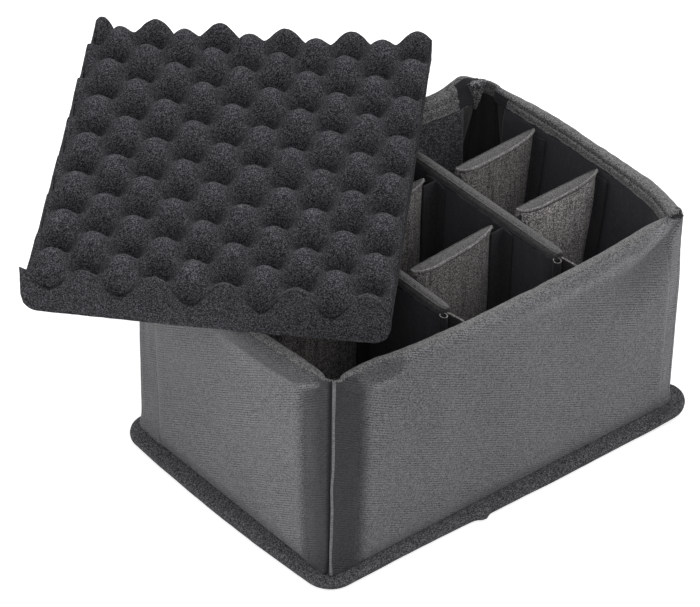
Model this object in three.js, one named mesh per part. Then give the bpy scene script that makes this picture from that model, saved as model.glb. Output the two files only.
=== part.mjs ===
// A soft padded divider insert for a small hard case, with the loose egg-crate foam pad of the case's lid
// lying askew on its rim. Four padded nylon walls stand on a padded base with a knitted edge binding, two
// long and six short padded dividers make nine compartments, and every divider ends in tabs of hook tape.
// Millimetres, +Z up, +X along the long walls. The origin is the middle of the underside of the base.
import * as THREE from "three";

// Outer size of the walls from corner seam to corner seam, and their height above the base.
const insertLength = 260;
const insertWidth = 175;
const wallHeight = 136;

// Make-up of one wall, from outside to inside: nylon cover, foam core, loop lining.
const wallThickness = 11.5;
const coverThickness = 1;
const liningThickness = 1.2;
const facingDepth = 10; // how far the cover turns down inside the rim
const fitGap = 0.3; // air left between pieces that touch or are sewn together

// The soft walls belly out between the corner seams, most at the rim and not at all at the base.
const wallBow = 10;
const bowLengthPower = 2.5;
const bowHeightPower = 1.3;

// Soft corners: the foam stops short of the seam, and a folded strip of cloth goes round the corner.
const gussetThickness = 2.4;
const gussetSink = 1.2; // how far the cloth lies back from the face of the panels
const wideCornerGap = 24; // from the seam to the padding
const frontLeftGap = 20;
const frontRightGap = 12;
const backCornerGap = 20;
const closeCornerGap = gussetSink + gussetThickness + 2 * fitGap;
const cornerRise = 3; // how far a free corner stands above the rim
const seamRadius = 1.1;
const pressedCorner = 2; // corner under the foam pad, which the pad presses level with the rim

// Base: underside cloth, board, floor lining, and a knitted binding round the edge.
const baseHeight = 7;
const undersideThickness = 0.8;
const floorLiningThickness = 1.2;
const bindingOverhang = 6;
const bindingLap = 6; // how far the binding reaches in below the walls
const bindingCornerRadius = 14;
const bindingFootInset = 1.5; // how far the binding's rounded edge draws in at the floor
const bindingTopInset = 2.5; // and at its top

// Dividers, each a foam core in an open-bottomed cover, with a tab at both ends.
const dividerThickness = 10;
const dividerCover = 0.8;
const longDividerDrop = 8; // from the rim down to the top of a long divider
const shortDividerDrop = 9;
const longEndGap = 11; // from a long divider's padding to the foot of the wall
const tabThickness = 1.2;
const tabWebHalf = 0.9; // half the thickness of the strip between padding and tape
const tabWidth = 16; // width of the tape that lies on the wall
const tabTravel = 10; // a short divider can be set this much nearer a corner and still clear the belly

// Places of the dividers. Long ones: share of the length from the middle. Short ones: column from left to
// right, share of the width from the middle, turn in degrees, gap to the left and to the right neighbour.
const leftLongShare = -0.108;
const rightLongShare = 0.219;
const tightGap = 3;
const looseGap = 4;
const wideGap = 10;
const halfTurn = 180;
const shortDividers = [
  { name: "left_front", column: "left", widthShare: -0.006, turn: 2, gaps: [looseGap, tightGap] },
  { name: "left_back", column: "left", widthShare: 0.24, turn: -1, gaps: [looseGap, looseGap] },
  { name: "middle_front", column: "middle", widthShare: -0.126, turn: 3.6, gaps: [tightGap, wideGap] },
  { name: "middle_back", column: "middle", widthShare: 0.234, turn: 2, gaps: [looseGap, looseGap] },
  { name: "right_front", column: "right", widthShare: -0.086, turn: 2.1, gaps: [tightGap, tightGap] },
  { name: "right_back", column: "right", widthShare: 0.22, turn: 5, gaps: [tightGap, tightGap] },
];

// Egg-crate foam pad: peaks on a square lattice with one more peak in the middle of each square.
const padWidth = 206;
const padLength = 269.5;
const padPeak = 32.7; // thickness at a peak
const padValley = 16.2; // thickness in a valley
const padPitch = 39.4;
const padPeakSideInset = 18.5; // from the pad's left edge to its first row of peaks
const padPeakFarInset = 56; // from the pad's far edge to the peaks that the rows are counted from
const padEdgeChamfer = 8; // the long lower edges are rounded off
const padSkew = 8; // the near end is cut out of square by this much
const padDroop = 6.5; // the far end hangs down this much
const padDroopLength = 75;
const padDroopEase = 60; // and only past the wall, coming in over this distance from it
const padTurn = -45; // degrees about +Z
const padCentreX = -58.5;
const padCentreY = 90;

// Fineness of the curved surfaces.
const wallStations = 18;
const wallLevelShares = [0, 0.25, 0.5, 0.75, 1];
const arcSteps = 6;
const cornerSteps = 5;
const seamSides = 6;
const padStepShare = 0.25; // of the pitch

// Colours as seen in soft daylight.
const greyNylon = { color: 0x6a686a, roughness: 0.75, metalness: 0 };
const dividerNylon = { color: 0x565455, roughness: 0.85, metalness: 0 };
const blackLoop = { color: 0x1d1d20, roughness: 1, metalness: 0 };
const knitBinding = { color: 0x343536, roughness: 0.95, metalness: 0 };
const hookTape = { color: 0x141416, roughness: 0.8, metalness: 0 };
const whiteFoam = { color: 0x8c8c88, roughness: 1, metalness: 0 };
const charcoalFoam = { color: 0x3b3b3f, roughness: 1, metalness: 0 };
const boardGrey = { color: 0x444446, roughness: 0.9, metalness: 0 };

// Heights that follow from the sizes above.
const wallFoot = baseHeight + fitGap;
const rimTop = baseHeight + wallHeight;
const rimRadius = wallThickness / 2;
const floorTop = baseHeight;
const dividerFoot = floorTop + fitGap;
const degree = Math.PI / halfTurn;

const insert = new THREE.Group();
insert.name = "divider_insert_with_foam_pad";

function add(name, geometry, finish, parent = insert) {
  const mesh = new THREE.Mesh(geometry, new THREE.MeshStandardMaterial(finish));
  mesh.name = name;
  parent.add(mesh);
  return mesh;
}

// A closed solid through rings of equally many points. An open row of rings gets a cap at each end. A ring
// of a leaning end is capped level by level, from each point to the one that mirrors it.
function loft(rings, { loop = false, leaning = false } = {}) {
  const count = rings[0].length;
  const points = rings.flat();
  const triangles = [];
  const strips = loop ? rings.length : rings.length - 1;
  for (let r = 0; r < strips; r++) {
    const here = r * count;
    const there = ((r + 1) % rings.length) * count;
    for (let i = 0; i < count; i++) {
      const j = (i + 1) % count;
      triangles.push([here + i, here + j, there + j], [here + i, there + j, there + i]);
    }
  }
  if (!loop) {
    const last = (rings.length - 1) * count;
    const cap = leaning ? levelCap : flatCap;
    for (const t of cap(rings[0])) triangles.push([t[2], t[1], t[0]]);
    for (const t of cap(rings[rings.length - 1])) triangles.push(t.map((i) => i + last));
  }
  return solidFrom(points, triangles);
}

function levelCap(ring) {
  const triangles = [];
  for (let i = 0; 2 * i < ring.length - 2; i++) {
    const mirrored = ring.length - 1 - i;
    triangles.push([i, i + 1, mirrored]);
    if (i + 1 < mirrored - 1) triangles.push([i + 1, mirrored - 1, mirrored]);
  }
  return triangles;
}

// Triangles over one flat ring, seen in the plane that it lies nearest to.
function flatCap(ring) {
  const normal = new THREE.Vector3();
  ring.forEach((p, i) => normal.add(new THREE.Vector3().crossVectors(p, ring[(i + 1) % ring.length])));
  normal.normalize();
  const side = new THREE.Vector3(0, 0, 1);
  if (Math.abs(normal.z) > Math.SQRT1_2) side.set(1, 0, 0);
  const u = new THREE.Vector3().crossVectors(side, normal).normalize();
  const v = new THREE.Vector3().crossVectors(normal, u);
  const flat = ring.map((p) => new THREE.Vector2(p.dot(u), p.dot(v)));
  return THREE.ShapeUtils.triangulateShape(flat, []);
}

function solidFrom(points, triangles) {
  let volume = 0;
  const cross = new THREE.Vector3();
  for (const [a, b, c] of triangles) volume += points[a].dot(cross.crossVectors(points[b], points[c]));
  const facing = volume < 0 ? triangles.map(([a, b, c]) => [a, c, b]) : triangles;
  const geometry = new THREE.BufferGeometry().setFromPoints(points);
  geometry.setIndex(facing.flat());
  geometry.computeVertexNormals();
  return geometry;
}

function steps(low, high, count) {
  return Array.from({ length: count + 1 }, (_, i) => low + ((high - low) * i) / count);
}

// Walls

// Each wall runs along one direction and faces outward in another.
const walls = [
  { name: "front", along: new THREE.Vector3(1, 0, 0), out: new THREE.Vector3(0, -1, 0) },
  { name: "back", along: new THREE.Vector3(-1, 0, 0), out: new THREE.Vector3(0, 1, 0) },
  { name: "left", along: new THREE.Vector3(0, -1, 0), out: new THREE.Vector3(-1, 0, 0) },
  { name: "right", along: new THREE.Vector3(0, 1, 0), out: new THREE.Vector3(1, 0, 0) },
];
for (const wall of walls) {
  const runsInX = wall.along.x !== 0;
  wall.half = (runsInX ? insertLength : insertWidth) / 2;
  wall.offset = (runsInX ? insertWidth : insertLength) / 2;
}

// Going round against the clock from above, each corner joins one wall to the next. The gaps are the
// unpadded lengths on the wall before it and on the wall after it.
const [frontWall, backWall, leftWall, rightWall] = walls;
const corners = [
  { name: "front_right", before: frontWall, after: rightWall, gaps: [frontRightGap, closeCornerGap] },
  { name: "back_right", before: rightWall, after: backWall, gaps: [backCornerGap, backCornerGap] },
  { name: "back_left", before: backWall, after: leftWall, gaps: [wideCornerGap, wideCornerGap] },
  { name: "front_left", before: leftWall, after: frontWall, gaps: [wideCornerGap, frontLeftGap] },
];
for (const { before, after, gaps } of corners) {
  before.highEnd = before.half - gaps[0];
  after.lowEnd = gaps[1] - after.half;
}

// How far the wall bellies out at s along it and height z.
function belly(wall, s, z) {
  const lengthwise = 1 - Math.min(1, Math.abs(s) / wall.half) ** bowLengthPower;
  const upward = Math.max(0, z - baseHeight) / wallHeight;
  return wallBow * lengthwise * upward ** bowHeightPower;
}

// A point of the wall: s along it, depth in from its outer face, height z.
function wallPoint(wall, s, depth, z) {
  const away = wall.offset + belly(wall, s, z) - depth;
  return new THREE.Vector3(0, 0, z).addScaledVector(wall.along, s).addScaledVector(wall.out, away);
}

const rimCentre = rimTop - rimRadius;
const hemHeight = rimTop - facingDepth;
const straightLevels = wallLevelShares.map((share) => wallFoot + share * (hemHeight - wallFoot));
straightLevels.push(rimCentre);

// Half circle over a wall or divider from its outer to its inner side, as [depth, height] pairs.
function archOver(middle, radius, centreHeight) {
  return steps(0, Math.PI, arcSteps).map((angle) => [
    middle - radius * Math.cos(angle),
    centreHeight + radius * Math.sin(angle),
  ]);
}

const coverProfile = [
  ...straightLevels.slice(0, -1).map((z) => [0, z]),
  ...archOver(rimRadius, rimRadius, rimCentre),
  [wallThickness, hemHeight],
  [wallThickness - coverThickness, hemHeight],
  ...archOver(rimRadius, rimRadius - coverThickness, rimCentre).reverse(),
  ...straightLevels
    .slice(0, -1)
    .reverse()
    .map((z) => [coverThickness, z]),
];
const coreOuter = coverThickness + fitGap;
const coreInner = wallThickness - liningThickness - fitGap;
const coreRadius = (coreInner - coreOuter) / 2;
const coreProfile = [
  ...straightLevels.slice(0, -1).map((z) => [coreOuter, z]),
  ...archOver(coreOuter + coreRadius, coreRadius, rimCentre),
  ...straightLevels
    .slice(0, -1)
    .reverse()
    .map((z) => [coreInner, z]),
];
const liningLevels = straightLevels.slice(0, -2);
liningLevels.push(hemHeight - fitGap);
const liningProfile = [
  ...liningLevels.map((z) => [wallThickness - liningThickness, z]),
  ...[...liningLevels].reverse().map((z) => [wallThickness, z]),
];

for (const wall of walls) {
  const layer = (profile) => {
    const ring = (s) => profile.map(([depth, z]) => wallPoint(wall, s, depth, z));
    return loft(steps(wall.lowEnd, wall.highEnd, wallStations).map(ring), { leaning: true });
  };
  add(`${wall.name}_wall_cover`, layer(coverProfile), greyNylon);
  add(`${wall.name}_wall_foam`, layer(coreProfile), whiteFoam);
  add(`${wall.name}_wall_lining`, layer(liningProfile), blackLoop);
}

// Corners

// The folded cloth round a corner, from the end of one wall's panel to the end of the next one's.
function cornerGusset(before, after, top) {
  const levels = [...straightLevels.slice(0, -1), rimCentre, top];
  const beforeEnd = before.highEnd + fitGap;
  const afterEnd = after.lowEnd - fitGap;
  const ring = (z) => {
    const side = (depth) => {
      const corner = wallPoint(before, before.half - depth, depth, z);
      return [
        wallPoint(before, beforeEnd, depth, z),
        wallPoint(before, (beforeEnd + before.half) / 2, depth, z),
        corner,
        wallPoint(after, (afterEnd - after.half) / 2, depth, z),
        wallPoint(after, afterEnd, depth, z),
      ];
    };
    return [...side(gussetSink), ...side(gussetSink + gussetThickness).reverse()];
  };
  return loft(levels.map(ring));
}

// The bound seam that stands on the corner.
function cornerSeam(before, top) {
  const at = wallPoint(before, before.half, 0, 0);
  const ring = (z) =>
    steps(0, 2 * Math.PI, seamSides)
      .slice(1)
      .map((a) => new THREE.Vector3(at.x + seamRadius * Math.cos(a), at.y + seamRadius * Math.sin(a), z));
  return loft([wallFoot, top].map(ring));
}

corners.forEach(({ name, before, after }, i) => {
  const top = i === pressedCorner ? rimTop - fitGap : rimTop + cornerRise;
  add(`${name}_corner_gusset`, cornerGusset(before, after, top), greyNylon);
  add(`${name}_corner_seam`, cornerSeam(before, top - seamRadius), greyNylon);
});

// Base

// The base has rounded corners.
const turnRadius = bindingCornerRadius - bindingOverhang;
const quarters = [
  [1, 1],
  [-1, 1],
  [-1, -1],
  [1, -1],
];

// A point out from the walls' faces by out, in the rounded corner of a quarter, at an angle about +Z.
function cornerPoint([sx, sy], angle, out, z) {
  const reach = turnRadius + out;
  const x = sx * (insertLength / 2 - turnRadius) + reach * Math.cos(angle);
  const y = sy * (insertWidth / 2 - turnRadius) + reach * Math.sin(angle);
  return new THREE.Vector3(x, y, z);
}

// Calls at(corner, angle) all the way round and gathers the results.
function aroundBase(at) {
  return quarters.flatMap((corner, quarter) =>
    steps(0, Math.PI / 2, cornerSteps).map((a) => at(corner, (quarter * Math.PI) / 2 + a)),
  );
}

// A flat panel inside the binding, between two heights.
function panel(bottom, top) {
  const out = -bindingLap - fitGap;
  return loft([bottom, top].map((z) => aroundBase((corner, angle) => cornerPoint(corner, angle, out, z))));
}

const boardBottom = undersideThickness + fitGap;
const floorLiningBottom = floorTop - floorLiningThickness;
add("base_underside_cloth", panel(0, undersideThickness), blackLoop);
add("base_board", panel(boardBottom, floorLiningBottom - fitGap), boardGrey);
add("floor_lining", panel(floorLiningBottom, floorTop), blackLoop);

// The binding's section, as [distance out from the wall's face, height]: square inside, round outside.
const bindingSection = [
  [-bindingLap, 0],
  [bindingOverhang - bindingTopInset, 0],
  [bindingOverhang - bindingFootInset / 2, bindingFootInset / 2],
  [bindingOverhang, baseHeight / 2],
  [bindingOverhang - bindingTopInset / 2, baseHeight - bindingTopInset / 2],
  [bindingOverhang - 2 * bindingTopInset, baseHeight],
  [-bindingLap, baseHeight],
];
const bindingRings = aroundBase((corner, angle) =>
  bindingSection.map(([out, z]) => cornerPoint(corner, angle, out, z)),
);
add("base_binding", loft(bindingRings, { loop: true }), knitBinding);

// Dividers

// Section of a divider, as [across, height] pairs.
function dividerSections(top) {
  const centre = top - dividerThickness / 2;
  const levels = wallLevelShares.slice(0, -1).map((share) => dividerFoot + share * (centre - dividerFoot));
  const outside = (radius) => [
    ...levels.map((z) => [-radius, z]),
    ...archOver(0, radius, centre),
    ...[...levels].reverse().map((z) => [radius, z]),
  ];
  const radius = dividerThickness / 2;
  const cover = [...outside(radius), ...outside(radius - dividerCover).reverse()];
  return { cover, core: outside(radius - dividerCover - fitGap) };
}

// Reach of a wall's inner face from the middle of the insert at height z, for a tape at s along the wall
// that still clears the belly when it is moved by travel towards a corner.
function wallReach(wall, s, z, travel = 0) {
  return wall.offset - wallThickness + belly(wall, Math.abs(s) + travel, z);
}

// A tab: a thin strip out of the padding's end, and the tape that it is sewn to. reach(across, z) is how
// far the face that the tape lies on is from the divider's own middle, and start(z) where the padding ends.
function tab(direction, across, at, start, reach, top) {
  const place = (along, side, z) =>
    new THREE.Vector3(at.x, at.y, z).addScaledVector(direction, along).addScaledVector(across, side);
  const half = tabWidth / 2;
  const low = dividerFoot;
  const ring = (z) => {
    const face = (side) => reach(side, z) - fitGap;
    const back = (side) => face(side) - tabThickness;
    return [
      place(start(z) + fitGap, -tabWebHalf, z),
      place(back(-tabWebHalf), -tabWebHalf, z),
      place(back(-half), -half, z),
      place(face(-half), -half, z),
      place(face(0), 0, z),
      place(face(half), half, z),
      place(back(half), half, z),
      place(back(tabWebHalf), tabWebHalf, z),
      place(start(z) + fitGap, tabWebHalf, z),
    ];
  };
  return loft(wallLevelShares.map((share) => ring(low + share * (top - low))));
}

const longX = { left: leftLongShare * insertLength, right: rightLongShare * insertLength };
const longTop = rimTop - longDividerDrop;
const shortTop = rimTop - shortDividerDrop;
const xAxis = new THREE.Vector3(1, 0, 0);
const yAxis = new THREE.Vector3(0, 1, 0);

// Padding between two ends that may lean with the walls. turn is about +Z through the middle.
function padding(section, ends, direction, across, at, turn) {
  const skew = Math.tan(turn * degree);
  return loft(
    ends.map((end) =>
      section.map(([side, z]) => {
        const along = end(z);
        return new THREE.Vector3(at.x, at.y, z)
          .addScaledVector(direction, along)
          .addScaledVector(across, side + along * skew);
      }),
    ),
    { leaning: true },
  );
}

function divider(name, { direction, across, at, ends, reaches, top, turn }) {
  const { cover, core } = dividerSections(top);
  const skew = Math.tan(turn * degree);
  add(`${name}_cover`, padding(cover, ends, direction, across, at, turn), dividerNylon);
  add(`${name}_foam`, padding(core, ends, direction, across, at, turn), whiteFoam);
  const tabTop = top - dividerThickness / 2;
  const names = direction.x ? ["left", "right"] : ["front", "back"];
  names.forEach((side, i) => {
    const sign = i === 0 ? -1 : 1;
    const outward = direction.clone().multiplyScalar(sign);
    const foot = ends[i](tabTop) * skew;
    const root = at.clone().addScaledVector(across, foot);
    const start = (z) => sign * ends[i](z);
    const reach = (sideways, z) => reaches[i](foot + sideways, z);
    add(`${name}_${side}_tab`, tab(outward, across, root, start, reach, tabTop), hookTape);
  });
}

for (const side of ["left", "right"]) {
  const x = longX[side];
  const end = insertWidth / 2 - wallThickness - longEndGap;
  divider(`long_divider_${side}`, {
    direction: yAxis,
    across: xAxis,
    at: new THREE.Vector3(x, 0, 0),
    ends: [() => -end, () => end],
    reaches: [(s, z) => wallReach(frontWall, x + s, z), (s, z) => wallReach(backWall, x + s, z)],
    top: longTop,
    turn: 0,
  });
}

const half = dividerThickness / 2;
for (const { name, column, widthShare, turn, gaps } of shortDividers) {
  const y = widthShare * insertWidth;
  const onLeft = column === "left";
  const onRight = column === "right";
  const lowFace = { left: 0, middle: longX.left + half, right: longX.right + half }[column];
  const highFace = { left: longX.left - half, middle: longX.right - half, right: 0 }[column];
  const low = (s, z) => (onLeft ? -wallReach(leftWall, y + s, z, tabTravel) : lowFace);
  const high = (s, z) => (onRight ? wallReach(rightWall, y + s, z, tabTravel) : highFace);
  const middle = (low(0, wallFoot) + high(0, wallFoot)) / 2;
  const [lowGap, highGap] = gaps;
  divider(`short_divider_${name}`, {
    direction: xAxis,
    across: yAxis,
    at: new THREE.Vector3(middle, y, 0),
    ends: [(z) => low(0, z) + lowGap - middle, (z) => high(0, z) - highGap - middle],
    reaches: [(s, z) => middle - low(s, z), (s, z) => high(s, z) - middle],
    top: shortTop,
    turn,
  });
}

// Foam pad

const padMiddle = (padPeak + padValley) / 2;
const padSwing = (padPeak - padValley) / 2;
const padGroup = new THREE.Group();
padGroup.position.set(padCentreX, padCentreY, rimTop + fitGap);
padGroup.rotation.z = padTurn * degree;
insert.add(padGroup);

// Lines of the pad's lattice between two edges, with the edges themselves.
function latticeLines(low, high, origin) {
  const step = padStepShare * padPitch;
  const lines = [low];
  const first = Math.ceil((low - origin) / step + padStepShare);
  const last = Math.floor((high - origin) / step - padStepShare);
  for (let i = first; i <= last; i++) lines.push(origin + i * step);
  lines.push(high);
  return lines;
}

function foamPad() {
  const side = padWidth / 2;
  const far = padLength / 2;
  const originX = -side + padPeakSideInset;
  const originY = far - padPeakFarInset;
  const turnsAt = (value, origin) => Math.cos((2 * Math.PI * (value - origin)) / padPitch);
  const columns = latticeLines(-side, side, originX);
  const rows = latticeLines(-far, far, originY);
  const rings = rows.map((row) => {
    const nearness = (far - row) / padLength;
    const place = (x, height) => {
      const y = row + padSkew * nearness * (-x / padWidth);
      const nearEnd = Math.max(0, y - (far - padDroopLength)) / padDroopLength;
      const beyond = padCentreY + x * Math.sin(padTurn * degree) + y * Math.cos(padTurn * degree);
      const pastWall = Math.max(0, beyond - insertWidth / 2 - wallBow) / padDroopEase;
      return new THREE.Vector3(x, y, height - padDroop * nearEnd * nearEnd * Math.min(1, pastWall));
    };
    const top = columns.map((x) => {
      const y = row + padSkew * nearness * (-x / padWidth);
      return place(x, padMiddle + padSwing * turnsAt(x, originX) * turnsAt(y, originY));
    });
    return [
      ...top,
      place(side, padEdgeChamfer),
      place(side - padEdgeChamfer, 0),
      place(-side + padEdgeChamfer, 0),
      place(-side, padEdgeChamfer),
    ];
  });
  return loft(rings);
}
add("foam_pad", foamPad(), charcoalFoam, padGroup);

export default insert;
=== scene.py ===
"""Looks for the padded divider insert with its loose egg-crate foam pad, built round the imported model.

Lengths in the code are millimetres in the frame of the part, and become metres where a mesh is made.
"""

import math

import bpy
import numpy as np
from mathutils import Matrix, Vector


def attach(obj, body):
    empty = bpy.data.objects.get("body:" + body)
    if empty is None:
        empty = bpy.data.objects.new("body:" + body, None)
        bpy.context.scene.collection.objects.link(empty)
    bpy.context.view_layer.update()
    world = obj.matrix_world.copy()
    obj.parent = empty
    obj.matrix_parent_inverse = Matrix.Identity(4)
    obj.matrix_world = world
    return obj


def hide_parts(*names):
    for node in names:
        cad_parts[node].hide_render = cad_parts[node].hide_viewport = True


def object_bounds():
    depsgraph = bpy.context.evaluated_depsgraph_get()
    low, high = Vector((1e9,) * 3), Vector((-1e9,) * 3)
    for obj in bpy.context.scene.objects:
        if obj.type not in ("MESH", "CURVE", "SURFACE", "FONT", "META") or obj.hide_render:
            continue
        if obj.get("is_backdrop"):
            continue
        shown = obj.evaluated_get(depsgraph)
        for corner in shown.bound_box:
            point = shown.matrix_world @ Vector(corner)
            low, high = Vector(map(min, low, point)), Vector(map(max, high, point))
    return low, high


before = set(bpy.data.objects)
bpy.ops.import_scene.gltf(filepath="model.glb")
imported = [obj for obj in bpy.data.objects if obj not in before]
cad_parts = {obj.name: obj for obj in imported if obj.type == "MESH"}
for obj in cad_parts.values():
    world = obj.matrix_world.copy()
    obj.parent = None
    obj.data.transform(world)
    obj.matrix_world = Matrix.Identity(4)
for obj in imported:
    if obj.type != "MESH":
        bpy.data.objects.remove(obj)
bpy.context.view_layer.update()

MM = 0.001

# Sizes, as in the part's source
LENGTH, WIDTH, HEIGHT = 260.0, 175.0, 136.0
THICK = 11.5
LINING = 1.2
HEM_DEPTH = 7.6
GAP = 0.3
BOW, BOW_LONG_POWER, BOW_UP_POWER = 10.0, 2.5, 1.3
TUCK = 3.0
BASE = 7.0
RIM = BASE + HEIGHT
DIVIDER = 10.0
LONG_TOP = RIM - 8.0
SHORT_TOP = RIM - 9.0
LONG_X = {"left": -0.108 * LENGTH, "right": 0.219 * LENGTH}
PAD_CENTRE = (-58.5, 90.0)
PAD_TURN = math.radians(-45)
PAD_W, PAD_L = 206.0, 269.5
PAD_PITCH = 39.4


# Noise and small maths
ENTRIES, SEED_STEP = 256, 17.31
_perm = np.random.RandomState(7).permutation(ENTRIES)
_vals = np.random.RandomState(8).uniform(-1, 1, ENTRIES)


def smooth(x):
    """From 0 to 1 with level ends, while x goes from 0 to 1."""
    x = np.clip(x, 0, 1)
    return x * x * (3 - 2 * x)


def noise(points, size, seed=0.0):
    """Smooth noise from -1 to 1 at points (..., 3), with lumps about size across."""
    q = np.asarray(points, float) / size + seed * SEED_STEP
    cell = np.floor(q).astype(int)
    share = smooth(q - cell)
    total = np.zeros(q.shape[:-1])
    for corner in np.ndindex(2, 2, 2):
        entry, weight = 0, 1.0
        for axis, step in enumerate(corner):
            entry = _perm[(entry + cell[..., axis] + step) % ENTRIES]
            weight = weight * np.where(step, share[..., axis], 1 - share[..., axis])
        total += weight * _vals[entry]
    return total


def bump(x, centre, width):
    """A smooth bump of height 1."""
    return np.exp(-(((x - centre) / width) ** 2))


def rounded(share):
    """From 0 to 1 in a quarter circle, while share goes from 0 to 1, and 1 beyond."""
    return np.sqrt(1 - np.maximum(0, 1 - share) ** 2)


def stack(*parts):
    """Points or vectors from their coordinates."""
    return np.stack(parts, -1)


def unit(vectors):
    """Vectors of length 1 in the same directions."""
    return vectors / (np.linalg.norm(vectors, axis=-1, keepdims=True) + 1e-9)


# Mesh making
def in_scene(name, data):
    """A new object in the scene that shows a mesh, a light or a camera."""
    obj = bpy.data.objects.new(name, data)
    bpy.context.scene.collection.objects.link(obj)
    return obj


def make(name, verts, faces, material, body, cloth=None, replaces=()):
    """A closed mesh that rides on a body. cloth holds, for each vertex, what the materials read."""
    mesh = bpy.data.meshes.new(name)
    verts = np.asarray(verts, float).reshape(-1, 3)
    mesh.from_pydata((verts * MM).tolist(), [], [list(map(int, f)) for f in faces])
    mesh.validate()
    mesh.update()
    mesh.calc_loop_triangles()
    p = verts[np.array([t.vertices[:] for t in mesh.loop_triangles])]
    if np.einsum("ij,ij->i", p[:, 0], np.cross(p[:, 1], p[:, 2])).sum() < 0:
        mesh.flip_normals()
    mesh.polygons.foreach_set("use_smooth", [True] * len(mesh.polygons))
    if cloth is not None:
        attribute = mesh.attributes.new("cloth", "FLOAT_VECTOR", "POINT")
        attribute.data.foreach_set("vector", (np.asarray(cloth, float).reshape(-1, 3) * MM).ravel())
    mesh.materials.append(material)
    obj = in_scene(name, mesh)
    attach(obj, body)
    if replaces:
        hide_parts(*replaces)
    return obj


def tube_faces(n, m, closed_rows=False):
    """Quads between n rings of m points each, and strips of quads over the two ends."""
    faces = []
    for i in range(n if closed_rows else n - 1):
        a, b = i * m, (i + 1) % n * m
        for j in range(m):
            k = (j + 1) % m
            faces.append((a + j, a + k, b + k, b + j))
    if not closed_rows:
        for base, turn in ((0, -1), ((n - 1) * m, 1)):
            for j in range((m - 1) // 2):
                # a point named twice makes a triangle, in the middle of a ring with an odd number of points
                corners = dict.fromkeys((j, j + 1, m - 2 - j, m - 1 - j))
                faces.append(tuple(base + k for k in corners)[::turn])
    return faces


def rings_object(name, rings, material, body, cloth=None, replaces=(), closed_rows=False):
    """The closed mesh over rings of points, each ring with the same number of them."""
    rings = np.asarray(rings, float)
    n, m = rings.shape[:2]
    return make(name, rings, tube_faces(n, m, closed_rows), material, body, cloth, replaces)


def two_sides(front, back):
    """Rings that go along one side of a sheet and back along the other."""
    return np.concatenate([front, back[:, ::-1]], axis=1)


def tubes_object(name, tubes, material):
    """Several closed tubes of the same number of rings and points, in one mesh of the insert."""
    count, around = tubes[0].shape[:2]
    verts = np.concatenate(tubes).reshape(-1, 3)
    faces = [[base + i for i in face] for base in range(0, len(verts), count * around)
             for face in tube_faces(count, around)]
    return make(name, verts, faces, material, "insert", verts)


def paint(obj, ring_size, index_at, on_ends=None):
    """Choose the material of each quad by its column and row in the rings, and that of the two ends."""
    for polygon in obj.data.polygons:
        if on_ends is not None and len({v // ring_size for v in polygon.vertices}) == 1:
            polygon.material_index = on_ends
        elif len(polygon.vertices) == 4:
            column = min(v % ring_size for v in polygon.vertices)
            polygon.material_index = int(index_at(column, polygon.vertices[0] // ring_size))


def sweep(path, radius_side, radius_up, around=8, seed=0.0, roughness=0.0, lump=4.0):
    """Rings of an oval tube along a path."""
    path = np.asarray(path, float)
    tangent = unit(np.gradient(path, axis=0))
    side = unit(np.cross(tangent, (0.0, 0.0, 1.0)))
    rise = np.cross(side, tangent)
    angle = np.linspace(0, 2 * math.pi, around + 1)[:-1]
    size = 1 + roughness * noise(path, lump, seed)
    ring = radius_side * np.cos(angle)[None, :, None] * side[:, None]
    ring = ring + radius_up * np.sin(angle)[None, :, None] * rise[:, None]
    return path[:, None] + size[:, None, None] * ring


def along_line(line, at):
    """Points at distances at along a line, and its length."""
    gaps = np.linalg.norm(np.diff(line, axis=0), axis=1)
    run = np.concatenate([[0], np.cumsum(gaps)])
    return stack(*[np.interp(at, run, line[:, k]) for k in range(3)]), run[-1]


def stitch_row(name, line, pitch=3.2, length=2.1, radius=0.34):
    """Short stitches, one closed bead each, in one mesh along a line."""
    total = along_line(line, [0.0])[1]
    shape = np.array([0.35, 0.85, 1.0, 0.85, 0.35])[:, None, None]
    beads = []
    for start in np.arange(3.0, total - 5.0, pitch):
        path = along_line(line, np.linspace(start, start + length, 5))[0]
        path[:, 2] += 0.3 - 0.4 * np.linspace(-1, 1, 5) ** 2
        beads.append(path[:, None] + (sweep(path, radius, radius, 6) - path[:, None]) * shape)
    return tubes_object(name, beads, HOOK)


def frayed_edge(name, line, seed):
    """The thin light edge of a cut and folded hem."""
    rings = sweep(line, 0.32, 0.32, 8, seed, 0.9, 1.6)
    return rings_object(name, rings, PIPING, "insert", rings)


# Materials


class Value:
    """The output of a node, whose arithmetic adds math nodes to its tree."""

    def __init__(self, nodes, socket):
        self.nodes, self.socket = nodes, socket

    def __add__(self, other):
        return self.nodes.math("ADD", self, other)

    def __sub__(self, other):
        return self.nodes.math("SUBTRACT", self, other)

    def __mul__(self, other):
        return self.nodes.math("MULTIPLY", self, other)

    def __pow__(self, other):
        return self.nodes.math("POWER", self, other)

    def clamped(self):
        """The same value, kept from 0 to 1."""
        self.socket.node.use_clamp = True
        return self


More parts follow.
